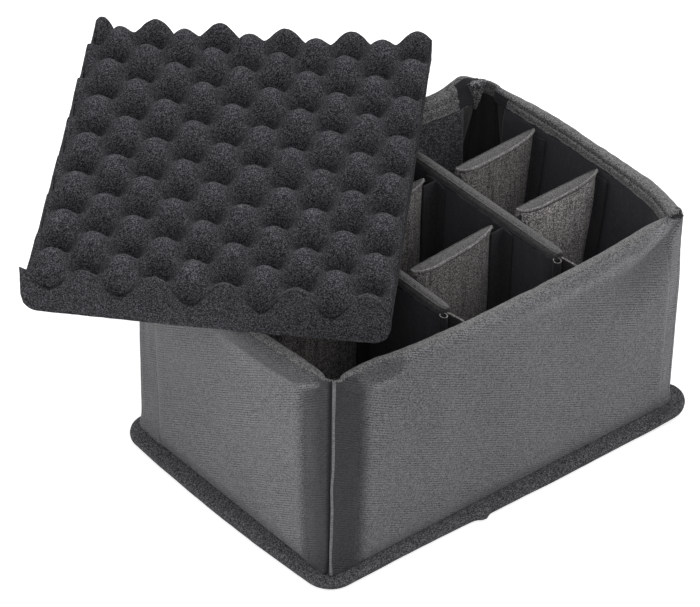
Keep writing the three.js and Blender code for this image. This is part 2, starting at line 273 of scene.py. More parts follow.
class Nodes:
    """A little builder for the nodes of a material or of the world, which is their owner."""

    def __init__(self, owner):
        owner.use_nodes = True
        self.owner, self.tree = owner, owner.node_tree
        self.tree.nodes.clear()

    def put(self, socket, value):
        """Set a socket to a number or a colour, or link the output of a node to it."""
        if isinstance(value, Value):
            value = value.socket
        if isinstance(value, bpy.types.NodeSocket):
            self.tree.links.new(value, socket)
        else:
            socket.default_value = value

    def add(self, kind, output, inputs, **properties):
        """One output of a new node, whose inputs are set by name or number."""
        node = self.tree.nodes.new("ShaderNode" + kind)
        for key, value in properties.items():
            setattr(node, key, value)
        for key, value in inputs.items():
            self.put(node.inputs[key], value)
        return Value(self, node.outputs[output])

    def math(self, operation, *values):
        return self.add("Math", 0, dict(enumerate(values)), operation=operation)

    def mix(self, factor, dark, light):
        """The colour between dark and light, which are red, green and blue from 0 to 255."""
        return self.add("Mix", 2, {0: factor, 6: linear(dark), 7: linear(light)}, data_type="RGBA")

    def noise(self, vector, scale, detail=3.0, rough=0.6, distortion=0.0):
        return self.add("TexNoise", "Fac", {
            "Vector": vector, "Scale": scale, "Detail": detail, "Roughness": rough, "Distortion": distortion,
        })

    def cells(self, vector, scale):
        """A random value from 0 to 1 for each small cell."""
        return self.split(self.add("TexVoronoi", "Color", {"Vector": vector, "Scale": scale}))[0]

    def stretched(self, vector, x, y, z):
        return self.add("VectorMath", 0, {0: vector, 1: (x, y, z)}, operation="MULTIPLY")

    def ramp(self, value, low, high, to_low=0.0, to_high=1.0):
        return self.add("MapRange", "Result", {
            "Value": value, "From Min": low, "From Max": high, "To Min": to_low, "To Max": to_high,
        })

    def position(self):
        return self.add("TexCoord", "Object", {})

    def cloth(self):
        """The mesh's own cloth attribute: along the weft, across it, and a factor of painted shade and
        highlight.
        """
        return self.split(self.add("Attribute", "Vector", {}, attribute_name="cloth"))

    def split(self, vector):
        first = self.add("SeparateXYZ", 0, {0: vector})
        return [Value(self, output) for output in first.socket.node.outputs]

    def bump(self, height, distance):
        return self.add("Bump", "Normal", {"Strength": 1.0, "Distance": distance, "Height": height})

    def look(self, color, roughness, **others):
        """A shader for a surface. others are more of its inputs, such as Normal."""
        others = {key.replace("_", " "): value for key, value in others.items()}
        return self.add("BsdfPrincipled", 0, {"Base Color": color, "Roughness": roughness, **others})

    def finish(self, shader, kind="Material"):
        self.put(self.tree.nodes.new("ShaderNodeOutput" + kind).inputs[0], shader)
        return self.owner


def linear(rgb):
    """A colour from 0 to 255 on the screen, as Blender's linear light."""
    shares = [c / 255 for c in rgb]
    return (*[c / 12.92 if c <= 0.04045 else ((c + 0.055) / 1.055) ** 2.4 for c in shares], 1.0)


# cells to the metre in the grain of cloth and foam
FINE = 2300.0


def woven(name, dark, light, thread=1.7, rib=1.0, speckle=0.5, roughness=0.5, sheen=0.15, gloss=0.5,
          mottle=0.0, shaded=False, patchy=0.5):
    """Plain-woven nylon: weft ribs that come and go, uneven dye and fine speckle, rubbed patches, and, for
    some cloths, painted shade and highlight.
    """
    m = Nodes(bpy.data.materials.new(name))
    across, wear_and_painted_light = m.cloth()[1:]
    position = m.position()
    wander = (m.noise(position, 60.0, 2.0) - 0.5) * 0.0012
    weft = m.math("SINE", (across + wander) * (2 * math.pi / (thread * MM)))
    weave = weft * m.ramp(m.noise(position, 70.0, 2.0, 0.6), 0.4, 0.62, 0.15, 1.0)
    grain = m.cells(position, FINE)
    slub = m.noise(position, 1300.0, 3.0, 0.65)
    tone = weave * (rib * 0.2) + 0.5
    if mottle:
        tone = tone + (m.noise(position, 900.0, 3.0, 0.7, 0.3) - 0.5) * (mottle * 2.4)
    tone = tone + (grain - 0.5) * (speckle * 2.6) + (slub - 0.5) * (speckle * 0.8)
    tone = (tone + (m.noise(position, 14.0, 3.0, 0.55) - 0.5) * patchy).clamped()
    # painted shade and highlight: the cloth's third coordinate, 1 for plain cloth, darkens or lightens the
    # tone
    if shaded:
        shade = (m.math("DIVIDE", wear_and_painted_light, MM) - 1.0) * 1.2 + 1.0
        tone = (tone * m.math("MAXIMUM", shade, 0.04)).clamped()
    normal = m.bump(weave * 0.5 + slub * 1.4, 0.00012)
    rough = m.ramp(grain, 0.0, 1.0, roughness - 0.08, roughness + 0.1)
    return m.finish(m.look(m.mix(tone, dark, light), rough, Normal=normal, Sheen_Weight=sheen,
                           Sheen_Roughness=0.5, Specular_IOR_Level=gloss))


def pile(name, dark, light, size=2200.0, relief=0.0002, sheen=0.05, streaks=0.4):
    """Brushed or looped pile: fibre ends, of which a few are bright, in uneven clumps and upright streaks."""
    m = Nodes(bpy.data.materials.new(name))
    position = m.position()
    clump = m.noise(position, size * 0.5, 3.0, 0.7)
    streak = m.noise(m.stretched(position, 1.0, 1.0, 0.08), 420.0, 4.0, 0.7)
    tone = (m.cells(position, size) ** 2.0 + 0.07) * m.ramp(clump, 0.25, 0.75, 0.8, 1.2)
    tone = (tone * m.ramp(streak, 0.25, 0.75, 1.0 - streaks, 1.0 + streaks)).clamped()
    return m.finish(m.look(m.mix(tone, dark, light), 0.95, Normal=m.bump(clump, relief), Sheen_Weight=sheen,
                           Sheen_Roughness=0.6, IOR=1.2))


def dotted(name, dark, light, low, high):
    """Black loop pile in which only some of the loop ends catch the light."""
    m = Nodes(bpy.data.materials.new(name))
    position = m.position()
    patch = m.noise(position, 220.0, 2.0, 0.6)
    dots = m.ramp(m.cells(position, 1900.0) + (patch - 0.5) * 0.3, low, high)
    return m.finish(m.look(m.mix(dots, dark, light), 0.9, Normal=m.bump(patch, 0.0005), Sheen_Weight=0.1,
                           Sheen_Roughness=0.5, Specular_IOR_Level=0.3))


def open_foam(name, dark, light):
    """Open-cell foam: small cells, each dark or light by how it was cut, some of which catch the light."""
    m = Nodes(bpy.data.materials.new(name))
    position = m.position()
    cell = m.cells(position, FINE) ** 2.4
    clump = m.noise(position, 1500.0, 3.0, 0.7)
    # painted shade: the pits are painted darker, and the peaks a little lighter
    painted_pit_shade = m.ramp(m.cloth()[2], 0.0, MM) ** 1.1
    tone = (cell * 0.9 + 0.1) * m.ramp(painted_pit_shade, 0.0, 1.0, 0.34, 1.1)
    normal = m.bump(clump + cell * 0.4, 0.0001)
    return m.finish(m.look(m.mix(tone, dark, light), 0.95, Normal=normal, IOR=1.1))


NYLON = woven("grey_nylon", (26, 26, 28), (143, 142, 144), sheen=0.08, gloss=0.1, shaded=True, rib=1.15,
              speckle=0.3, patchy=0.3)
RIM_CLOTH = woven("mottled_rim_nylon", (26, 26, 27), (122, 120, 120), speckle=0.8, roughness=0.6,
                  sheen=0.1, gloss=0.35, rib=0.3, mottle=0.3)
# lighter than the grey nylon, as a painted highlight on the raised seam edges; the frayed threads use it too
SEAM = woven("seam_edge_nylon", (66, 66, 68), (124, 122, 123), speckle=0.8)
FACE = pile("divider_face_cloth", (16, 15, 15), (169, 165, 161), 2100.0, sheen=0.1, streaks=0.6)
# a lighter copy of the divider face cloth: painted light on the right front divider's face
FACE_PAINTED_LIT = pile("divider_face_painted_lit", (20, 19, 19), (232, 227, 223), 2100.0, sheen=0.1, streaks=0.6)
RIDGE = woven("divider_top_cloth", (28, 28, 28), (96, 94, 93), thread=1.1, speckle=0.9, roughness=0.6,
              gloss=0.3, mottle=0.3, shaded=True)
LOOP = dotted("black_loop", (36, 36, 40), (110, 109, 111), 0.6, 0.95)
SIDE_LOOP = dotted("divider_side_loop", (46, 46, 51), (64, 64, 68), 0.8, 1.05)
COVERED = dotted("covered_loop", (27, 27, 30), (42, 42, 44), 0.8, 1.05)
BUNCHED = dotted("bunched_loop", (40, 40, 42), (150, 149, 150), 0.5, 0.95)
KNIT = pile("knit_binding", (12, 12, 13), (120, 120, 122), FINE, relief=0.00025, streaks=0.2)
HOOK = pile("hook_tape", (34, 34, 37), (56, 55, 57))
PIPING = pile("edge_tape", (64, 62, 61), (170, 167, 164), relief=0.0003, sheen=0.2)
FOAM = open_foam("charcoal_foam", (5, 5, 6), (118, 118, 122))
BOARD = pile("board", (54, 54, 56), (96, 96, 98), sheen=0.0)

# Walls


class Wall:
    """One padded wall. s runs along it, depth goes in from its outer face.

    gaps are the unpadded lengths at its two ends, rim_gaps the same up at the rim, and tapers how long the
    padding takes to reach its full thickness, low down and at the rim."""

    def __init__(self, name, along, out, half, offset, gaps, rim_gaps, tapers, number):
        self.name, self.number = name, number
        self.along, self.out = np.array(along, float), np.array(out, float)
        self.half, self.offset = half, offset
        self.gaps, self.rim_gaps, self.tapers = gaps, rim_gaps, tapers

    def belly(self, s, z):
        lengthwise = 1 - np.minimum(1, np.abs(s) / self.half) ** BOW_LONG_POWER
        upward = np.maximum(0, z - BASE) / HEIGHT
        return BOW * lengthwise * upward**BOW_UP_POWER

    def place(self, s, depth, z):
        """World points, in mm, at s along the wall, depth in from its outer face and height z."""
        s, depth, z = np.broadcast_arrays(np.asarray(s, float), depth, z)
        away = self.offset + self.belly(s, z) - depth
        points = s[..., None] * self.along + away[..., None] * self.out
        points[..., 2] = z
        return points

    def end_gap(self, end, z):
        """Distance from the corner to the end of the padding at height z."""
        return self.gaps[end] + (self.rim_gaps[end] - self.gaps[end]) * near_rim(z)

    def fullness(self, s, z):
        """1 where the padding is full, falling to 0 in a round at its ends."""
        full = 1.0
        for end, distance in enumerate((s + self.half, self.half - s)):
            low, high = self.tapers[end]
            taper = low + (high - low) * near_rim(z)
            inside = np.clip((distance - self.end_gap(end, z) + TUCK) / taper, 0, 1)
            full = full * np.sqrt(1 - (1 - inside) ** 2)
        return full

    def cloth_depth(self, s, z):
        """Depth of the outer face of the unpadded cloth at the ends of the wall."""
        low, high = s + self.half, self.half - s
        nearest = np.minimum(low, high)
        gap = np.where(low < high, self.gaps[0], self.gaps[1])
        foot = 1.6 * (1 - smooth((z - BASE) / 12))
        return -BULGE * 0.72 * bulge_up(z) * np.clip(nearest / np.maximum(gap, 8), 0, 1.4) - foot

    def outer(self, s, z):
        full = self.fullness(s, z)
        padding = full * -BULGE * bulge_up(z)
        return padding + (1 - full) * (self.cloth_depth(s, z) + UNDER) + self.creases(s, z)

    def inner(self, s, z):
        full = self.fullness(s, z)
        return full * (THICK - self.pressed(s, z)) + (1 - full) * (self.cloth_depth(s, z) + UNDER + 2.2)

    def pressed(self, s, z):
        """How much thinner than THICK the padding is: the right wall is pressed out towards its rim."""
        if self.name != "right":
            return 0.0
        return 3.6 * smooth((z - BASE - 30) / 80) * smooth((self.half - np.abs(s)) / 24)

    def ear(self, s):
        """The dog-ear at the front wall's left end: the share across it from -1 to 1, and its crease."""
        share = np.clip((s + self.half - 31) / 17, -1, 1)
        return share, RIM - 11.5 * np.sqrt(1 - share**2)

    def roll_foot(self, s):
        """Height of the foot of the front wall's rolled rim, which is higher towards the right corner."""
        return RIM - 1.5 - 10.5 * smooth((self.half - s) / 48)

    def shade(self, s, z):
        """Painted shade and highlight on the cloth: 1 for plain cloth, less where shade is painted, more
        where a highlight is painted.
        """
        from_left, from_right = s + self.half, self.half - s
        shade = np.ones(np.broadcast(s, z).shape)
        if self.name == "left":
            from_padding = from_right - self.end_gap(1, z) + TUCK
            # painted light across the wall, lighter towards the front corner, and painted shade on the cloth
            # where the padding ends at that corner
            shade = shade + 0.2 * s / self.half - 0.42 * (1 - smooth(from_padding / 6.5))
            # its rolled rim is darker towards the front corner
            edge = RIM - 2 - 11 * smooth(from_right / 28)
            shade = shade - 0.5 * smooth((z - edge) / 3) * smooth((s - self.half + 110) / 50)
        if self.name == "front":
            share, crease = self.ear(s)
            # painted shade on the dog-ear above its crease, and a painted highlight along the crease
            ear = smooth((z - crease) / 2.5) * (1 - share**2) ** 0.3 * (np.abs(share) < 1)
            shade = shade - 0.34 * ear + 0.3 * bump(z, crease - 0.8, 1.0) * (1 - share**2)
            # painted shade on the unpadded cloth at the left end, by the front left corner
            shade = shade - 0.6 * (1 - smooth((from_left - 17) / 9)) * (1 - ear)
            foot = self.roll_foot(s)
            # a painted highlight along the rolled rim, just above its foot, towards the right corner, and
            # painted shade in the hollow below the rim
            shade = shade + 0.38 * bump(z, foot + 3.6, 3.4) * smooth((150 - from_right) / 60)
            hollow = smooth((foot - z) / 4) * smooth((z - foot + 42) / 34)
            shade = shade - 0.3 * hollow * smooth((75 - from_right) / 40)
        return shade

    def creases(self, s, z):
        """Folds and swellings that belong to one wall, such as a dog-ear at the front left corner."""
        if self.name == "right":
            return -2.0 * bump(s, -52.0, 26.0) * smooth((z - BASE) / 90)
        if self.name == "back":
            swelling = -3.2 * bump(s, -self.half + 12.0, 13.0) * smooth((z - RIM + 34) / 30)
            return swelling * self.fullness(s, z) ** 2
        if self.name != "front":
            return 0.0
        share, crease = self.ear(s)
        ear = 0.62 * np.maximum(0, z - crease) * (1 - share**2) ** 0.25
        ear = ear - 0.7 * bump(z, crease - 1.0, 1.6) * (1 - share**2)
        from_right, foot = self.half - s, self.roll_foot(s)
        reach = smooth((70 - from_right) / 45) * smooth((from_right - 1) / 5)
        return ear + 2.2 * reach * smooth((foot - z) / 5) * smooth((z - foot + 44) / 36)


# how far the padding swells out, and how deep the outer cloth lies beside it
BULGE, UNDER = 3.4, 0.9
TWILL = {"front": 0.476, "left": -0.566, "back": 0.5, "right": -0.5}
END_RISE = {"front": (0.4, -1.4), "right": (2.6, 2.8), "back": (4.0, -0.6), "left": (-0.6, 0.2)}


def near_rim(z):
    """0 low down, and 1 in the rolled rim."""
    return smooth((z - (RIM - 16)) / 12)


def bulge_up(z):
    """How the padding's fullness changes with height: sewn down at the foot, drawn in at the rim."""
    up = z - BASE
    return (0.5 + 0.5 * smooth(up / 10.0)) * (1 - 0.55 * smooth((up - 85) / 45))


WALLS = {row[0]: Wall(*row) for row in (
    ("front", (1, 0, 0), (0, -1, 0), LENGTH / 2, WIDTH / 2, (20, 12), (9, 3.4), ((9, 30), (7, 34)), 1),
    ("back", (-1, 0, 0), (0, 1, 0), LENGTH / 2, WIDTH / 2, (20, 24), (8, 10), ((8, 34), (8, 24)), 2),
    ("left", (0, -1, 0), (-1, 0, 0), WIDTH / 2, LENGTH / 2, (24, 21), (10, 10), ((8, 24), (6, 28)), 3),
    ("right", (0, 1, 0), (1, 0, 0), WIDTH / 2, LENGTH / 2, (4.2, 20), (4.2, 13), ((3, 3), (8, 44)), 4),
)}


def rim_height(wall, s):
    """The rim isn't straight: it rises and sinks a little along the wall, and up to the corners."""
    s = np.asarray(s, float)
    p = stack(s, np.full_like(s, wall.number * 50.0), np.zeros_like(s))
    wave = 0.8 * noise(p, 34.0, 3) + 0.3 * noise(p, 11.0, 5)
    if wall.name == "back":
        from_end = s + wall.half
        wave = wave + 5.0 * bump(from_end, 16.0, 11.0) + 4.0 * smooth((110 - from_end) / 60)
    low, high = END_RISE[wall.name]
    ends = low * bump(s, -wall.half, 14) + high * bump(s, wall.half, 14)
    return RIM + wave * smooth((wall.half - np.abs(s)) / 20) + ends


FACE_LEVELS = np.concatenate([
    [BASE + GAP, BASE + 1.2, BASE + 2.6], np.linspace(BASE + 4.5, RIM - 34, 36),
    np.linspace(RIM - 32.8, RIM - THICK / 2, 24),
])
ARCH = np.linspace(0, math.pi, 19)
STITCH_ANGLE = math.radians(150)


def stations_at(wall, z):
    """Places along the wall at heights z, as (stations, heights): fine steps at its ends, then even ones."""
    z = np.atleast_1d(z)
    fine = np.concatenate([[0, 0.15, 0.4, 0.8, 1.3, 2.0], np.arange(2.9, 30.0, 1.15)])[:, None]
    count = int((2 * wall.half - sum(wall.gaps) - 2 * 30) / 1.8)
    share = np.linspace(0, 1, count)[1:-1, None]
    first = -wall.half + wall.end_gap(0, z) - TUCK + fine
    last = wall.half - wall.end_gap(1, z) + TUCK - fine[::-1]
    return np.concatenate([first, first[-1] + share * (last[0] - first[-1]), last])


def wall_rings(wall):
    """Closed sections of the cover: outer face, roll over the rim, facing, and down behind the lining."""
    s = stations_at(wall, FACE_LEVELS)
    z = np.broadcast_to(FACE_LEVELS, s.shape)
    top_s = s[:, -1:]
    outer = wall.outer(s, z)
    # the roll, an arch between the two faces that is a little squarer than a half circle
    spring, squareness = RIM - THICK / 2, 0.82
    arch_out, arch_in = outer[:, -1:], wall.inner(top_s, spring)
    middle, radius = (arch_out + arch_in) / 2, (arch_in - arch_out) / 2
    angle = ARCH[1:][None, :]
    arch_d = middle - radius * np.sign(np.cos(angle)) * np.abs(np.cos(angle)) ** squareness
    arch_z = spring + (rim_height(wall, top_s) - spring) * np.maximum(np.sin(angle), 0) ** squareness
    groove = bump(angle, STITCH_ANGLE, 0.16) * wall.fullness(top_s, RIM)
    arch_d = arch_d - 1.1 * groove
    arch_z = arch_z - 0.9 * groove
    # the facing down to its hem, and what lies behind the lining
    sag = 0.7 * noise(stack(top_s, top_s * 0 + wall.number * 7, top_s * 0), 9.0, 8)
    hem = RIM - HEM_DEPTH + sag
    low_levels = [BASE + 100.0, BASE + 50.0, BASE + GAP]
    low_s = [stations_at(wall, level) for level in low_levels]
    behind = LINING + GAP
    facing_s = [top_s] * 4 + low_s
    facing = [arch_in, arch_in + 0.3, arch_in - 0.15, arch_in - behind]
    facing += [wall.inner(at, level) - behind for at, level in zip(low_s, low_levels)]
    facing_z = [np.full_like(top_s, RIM - 8.0), hem + 0.7, hem, hem + 0.1]
    facing_z += [np.full_like(top_s, level) for level in low_levels]
    along = np.concatenate([s, np.repeat(top_s, arch_d.shape[1], axis=1), *facing_s], axis=1)
    depths = np.concatenate([outer, arch_d, *facing], axis=1)
    heights = np.concatenate([z, arch_z, *facing_z], axis=1)
    run = np.cumsum(np.hypot(*[np.diff(a, axis=1, prepend=a[:, :1]) for a in (depths, heights)]), axis=1)
    # the cloth's third coordinate is the painted shade and highlight
    cloth = stack(along, run + TWILL[wall.name] * along, wall.shade(along, heights))
    return along, wall.place(along, depths, heights), cloth


def soften(wall, along, rings):
    """Slow hollows in the cloth of the outer face and the rim, which fade out before the inner side."""
    face = len(FACE_LEVELS)
    mask = np.zeros(rings.shape[1])
    mask[:face + 9] = 1
    mask[face + 9:face + 15] = np.linspace(1, 0, 6)
    offset = 0.5 * noise(rings, 46.0, wall.number) + 0.18 * noise(rings, 15.0, wall.number + 9)
    # small tucks that run down from the rolled rim
    tuck = noise(rings * np.array([1, 1, 0.12]), 4.5, wall.number + 4)
    offset = offset + 0.32 * tuck * smooth((rings[..., 2] - (RIM - 16)) / 10)
    lumps = 0.3 * noise(rings, 5.0, wall.number + 2) * smooth((rings[..., 2] - (RIM - 7)) / 4)
    up = smooth((rings[..., 2] - BASE) / 12)
    full = up * wall.fullness(along, rings[..., 2])
    moved = rings + (offset * full * mask)[..., None] * wall.out
    moved[..., 2] += lumps * full
    return moved


for wall in WALLS.values():
    along, rings, cloth = wall_rings(wall)
    rings = soften(wall, along, rings)
    cover = rings_object(
        f"{wall.name}_wall_padded_cover", rings, NYLON, "insert", cloth,
        (f"{wall.name}_wall_cover", f"{wall.name}_wall_foam"),
    )
    # the top of the roll, from its crown to the stitches, and the facing below them are in a darker, mottled
    # cloth, except where the padding runs out; behind the lining and at the ends is covered loop
    cover.data.materials.append(RIM_CLOTH)
    cover.data.materials.append(COVERED)
    face, crown = len(FACE_LEVELS), len(FACE_LEVELS) + 6
    full = wall.fullness(along[:, crown], RIM)
    bare_below, bare_from = (0.9, crown + 3) if wall.name == "back" else (0.72, crown + 7)

    def cloth_at(column, row):
        if column >= face + len(ARCH) + 2 or (column >= bare_from and full[row] < bare_below):
            return 2
        return column >= crown

    paint(cover, rings.shape[1], cloth_at, 2)
    groove = face - 1 + int(round(STITCH_ANGLE / (ARCH[1] - ARCH[0])))
    inside = wall.fullness(along[:, groove], RIM) > 0.75
    stitch_row(f"{wall.name}_rim_stitches", rings[inside, groove])
    frayed_edge(f"{wall.name}_facing_hem", rings[inside, face + len(ARCH) + 1], wall.number)

# Linings

for wall in WALLS.values():
    low = -wall.half + wall.gaps[0] + 0.5
    high = wall.half - wall.gaps[1] - 0.5
    if wall.name == "right":
        low += 8
    along = np.linspace(low, high, int((high - low) / 1.6))
    top = RIM - HEM_DEPTH - GAP
    levels = [np.linspace(BASE + GAP, top - 44, 24), np.linspace(top - 42, top - 2, 28), [top - 0.8, top]]
    S, Z = np.meshgrid(along, np.concatenate(levels), indexing="ij")
    fuzz = stack(S, Z, np.full_like(S, wall.number * 60.0))
    face = wall.inner(S, Z)
    pile_height = 0.16 * noise(fuzz, 3.0, 2) + 0.2 * noise(fuzz, 20.0, 4)
    edge = np.clip(np.minimum(np.minimum(S - low, high - S) / 2, top - Z), 0, 1)
    inner = face - LINING * (0.7 - 0.7 * np.sqrt(edge)) + pile_height * edge
    rings = two_sides(wall.place(S, inner, Z), wall.place(S, face - LINING, Z))
    rings_object(
        f"{wall.name}_wall_loop_lining", rings, SIDE_LOOP if wall.name == "right" else LOOP,
        "insert", two_sides(fuzz, fuzz), (f"{wall.name}_wall_lining",),
    )

# Corners
# name, wall before, wall after, rise of the tip above the rim, and how far along the wall before and the wall
# after the corner is rounded off, at the top and at the foot
CORNERS = [
    ("front_right", "front", "right", -1.4, (2.5, 2.5), (2.0, 2.0)),
    ("back_right", "right", "back", 1.7, (2.5, 4.0), (5.0, 5.0)),
    ("back_left", "back", "left", -0.6, (8.0, 8.0), (6.0, 6.0)),
    ("front_left", "left", "front", 0.6, (1.5, 1.5), (2.5, 2.5)),
]
CLOTH = 2.4


def corner_path(before, after, Q, Z, rounding_before, rounding_after):
    """Outer face of the corner cloth, at Q from the seam: below 0 on the wall before, above 0 after."""

    def on(wall, s):
        return wall.place(s, wall.cloth_depth(s, Z), Z)

    straight = np.where((Q < 0)[..., None], on(before, before.half + Q), on(after, -after.half + Q))
    start = on(before, before.half - rounding_before)
    stop = on(after, -after.half + rounding_after)
    corner = start * np.abs(before.out) + stop * np.abs(after.out)
    corner[..., 2] = Z
    t = np.clip((Q + rounding_before) / (rounding_before + rounding_after), 0, 1)[..., None]
    curve = (1 - t) ** 2 * start + 2 * t * (1 - t) * corner + t**2 * stop
    near = (Q > -rounding_before) & (Q < rounding_after)
    return np.where(near[..., None], curve, straight)


def side_steps(reach):
    """Distances from the seam, fine near it."""
    fine = np.array([0.0, 0.3, 0.6, 0.9, 1.2, 1.6, 2.0, 2.5, 3.0])
    if reach < 5:
        return np.append(fine[fine < reach - 0.4], reach)
    return np.concatenate([fine, np.linspace(3.6, reach, int(reach / 0.8))])


for number, (name, before_name, after_name, rise, round_top, round_foot) in enumerate(CORNERS):
    before, after = WALLS[before_name], WALLS[after_name]
    qs = np.concatenate([-side_steps(before.gaps[1] - 0.6)[::-1], side_steps(after.gaps[0] - 0.6)[1:]])
    levels = np.concatenate([
        [BASE + GAP, BASE + 1.4, BASE + 3.0], np.linspace(BASE + 5, RIM - 26, 44),
        np.linspace(RIM - 25, RIM - 1, 22), [RIM - 0.4, RIM],
    ])
    tip = RIM - 0.5 + rise * bump(qs, 0, 9.0)
    tip = tip + 0.35 * noise(stack(qs, qs * 0 + number * 31, qs * 0), 5.0, number)
    if name == "back_right":
        # it swoops up along the back wall
        tip = tip + 9.5 * smooth(qs / 17.0)
    if name == "front_right":
        tip = tip + 4.0 * smooth((qs - 0.5) / 2.5)
    Q = qs[:, None] * np.ones(len(levels))
    Z = BASE + GAP + (levels - levels[0])[None, :] * (tip[:, None] - BASE - GAP) / (RIM - BASE - GAP)
    up = smooth((Z - BASE) / HEIGHT)
    outer = corner_path(before, after, Q, Z, *[a + (b - a) * up for a, b in zip(round_foot, round_top)])
    # how far the cloth is tucked under the padding of the wall that it runs along
    beyond = np.where(Q < 0, -Q - before.end_gap(1, Z), Q - after.end_gap(0, Z))
    under = smooth((beyond + TUCK - 0.6) / 3)
    tangent = np.gradient(outer, axis=0)
    tangent[..., 2] = 0
    tangent = unit(tangent)
    inward = stack(-tangent[..., 1], tangent[..., 0], np.zeros_like(tangent[..., 0]))
    inward = inward * np.sign(-(inward[..., :2] * outer[..., :2]).sum(-1))[..., None]
    # folds in the loose cloth: long ones that run up and down, and small puckers at the foot and the rim
    P = stack(Q + number * 90, Z * 0.3, np.zeros_like(Z))
    fold = 0.45 * noise(P, 9.0, number) + 0.2 * noise(P, 4.0, number + 6)
    P[..., 1] = Z
    fold = fold + 0.5 * noise(P, 26.0, number + 3)
    ends = np.maximum(smooth((BASE + 16 - Z) / 12), smooth((Z - (RIM - 18)) / 14))
    fold = fold + 0.5 * ends * noise(P, 5.0, number + 7)
    loose = smooth(np.abs(Q) / 5.0) * smooth((Z - BASE) / 8)
    # the seam: a deep groove on one side of it, and a raised folded edge on the other
    flat_seam = name == "front_right"
    groove = (0.5 if flat_seam else 2.1) * bump(Q, -1.2, 1.1)
    outer = outer + inward * (fold * loose * (1 - under) + groove + 2.6 * under)[..., None]
    inner = outer + inward * (CLOTH - 0.6 * groove)[..., None]
    crest = (outer[:, -1] + inner[:, -1]) / 2 + np.array([0, 0, 0.8])
    rings = np.concatenate([outer, crest[:, None], inner[:, ::-1]], axis=1)
    P[..., 0] = Q
    P[..., 1] = Z + np.where(Q < 0, TWILL[before_name], TWILL[after_name]) * Q
    # the cloth's third coordinate is painted shade: dark on the unpadded cloth on both sides of the front
    # left seam, darkest in the seam's groove; a little dark on the two back corners, and none at the front
    # right
    if name == "front_left":
        away = np.abs(Q)
        on_left, on_front = 0.36 + 0.2 * smooth((away - 4) / 15), 0.34 + 0.08 * smooth((away - 14) / 6)
        P[..., 2] = np.where(Q < 0, on_left, on_front) - 0.2 * bump(Q, -1.3, 1.2)
    else:
        P[..., 2] = 1.0 if flat_seam else 0.8
    piece = rings_object(
        f"{name}_corner_cloth", rings, NYLON, "insert",
        np.concatenate([P, P[:, -1:], P[:, ::-1]], axis=1), (f"{name}_corner_gusset",),
    )
    piece.data.materials.append(COVERED if name == "back_right" else LOOP)
    piece.data.materials.append(RIM_CLOTH)
    rim = len(levels) - 1
    paint(piece, rings.shape[1], lambda column, row: 1 if column > rim + 9 else 2 * (column >= rim))
    # raised edge of the seam, in the lighter seam cloth as a painted highlight
    at = int(np.argmin(np.abs(qs - 1.2)))
    line, away, side = outer[at, 1:-1], -inward[at, 1:-1], tangent[at, 1:-1]
    swell = noise(line, 6.0, number + 4)[:, None, None]
    line = line + 0.45 * noise(line, 15.0, number + 8)[:, None] * side
    swell = swell + 2.2 * smooth((line[:, 2] - RIM + 40) / 60)[:, None, None]
    angle = np.linspace(0, 2 * math.pi, 11)[:-1]
    tube = line[:, None] + (0.6 if flat_seam else 1.0) * (0.74 + 0.12 * swell) * (
        np.cos(angle)[None, :, None] * side[:, None] + 0.85 * np.sin(angle)[None, :, None] * away[:, None]
    )
    cloth = stack(np.broadcast_to(angle * 0.9, tube.shape[:2]), tube[..., 2], tube[..., 2] * 0)
    rings_object(
        f"{name}_corner_seam_edge", tube, SEAM, "insert", cloth, (f"{name}_corner_seam",)
    )


def bunch(name, centre, across, inward, width, depth, top, low):
    """Loop cloth gathered into the corner under the rim, as a cone with its tip down."""
    angle = np.linspace(0, math.pi, 27)
    folds = 1 + 0.16 * np.cos(angle * 9) * np.sin(angle)
    rings = []
    for z in np.linspace(low, top, 24):
        share = ((z - low) / (top - low)) ** 0.8
        out = (depth * share + 0.5) * np.sin(angle) * folds
        at = centre + across * ((width / 2 * share + 0.4) * np.cos(angle))[:, None] + inward * out[:, None]
        ring = np.concatenate([at, np.full((len(angle), 1), z)], axis=1)
        back = ring[::-1][1:-1].copy()
        back[:, :2] -= inward * (out[::-1][1:-1] + 0.8)[:, None]
        rings.append(np.concatenate([ring, back]))
    rings = np.array(rings)
    mask = smooth((rings[..., 2] - low) / 6)[..., None]
    rings[..., :2] += 0.35 * stack(noise(rings, 3.0, 1), noise(rings, 3.0, 2)) * mask
    return rings_object(name, rings, BUNCHED, "insert", rings)


bunch("back_right_bunched_loop", np.array([119.3, 82.6]), np.array([0.92, -0.39]), np.array([-0.39, -0.92]),
      12.0, 4.0, RIM + 6.5, RIM - 14)

line = np.array([[129.4, -87.6, RIM - 1.8], [127.4, -86.6, RIM - 1.0], [124.0, -85.6, RIM - 1.0],
                 [120.0, -84.8, RIM - 1.6], [116.3, -84.0, RIM - 3.0]])
line = along_line(line, np.linspace(0, 15.3, 40))[0]
rings = sweep(line, 1.0, 1.2, 10, 5, 0.5, 1.6)
rings_object("front_right_frayed_seam", rings, HOOK, "insert", rings)
hairs = np.random.RandomState(5)
threads = []
for _ in range(22):
    start = line[hairs.randint(0, 34)]
    heading = hairs.normal(0, 1, 3) * np.array([0.6, 0.6, 0.4]) + np.array([0.2, -0.1, 0.7])
    heading /= np.linalg.norm(heading)
    bend = hairs.normal(0, 0.8, 3)
    t = np.linspace(0, 1, 6)[:, None]
    threads.append(sweep(start + heading * t * 2.6 + bend * t**2, 0.16, 0.16, 5))
tubes_object("front_right_frayed_threads", threads, SEAM)

# Base


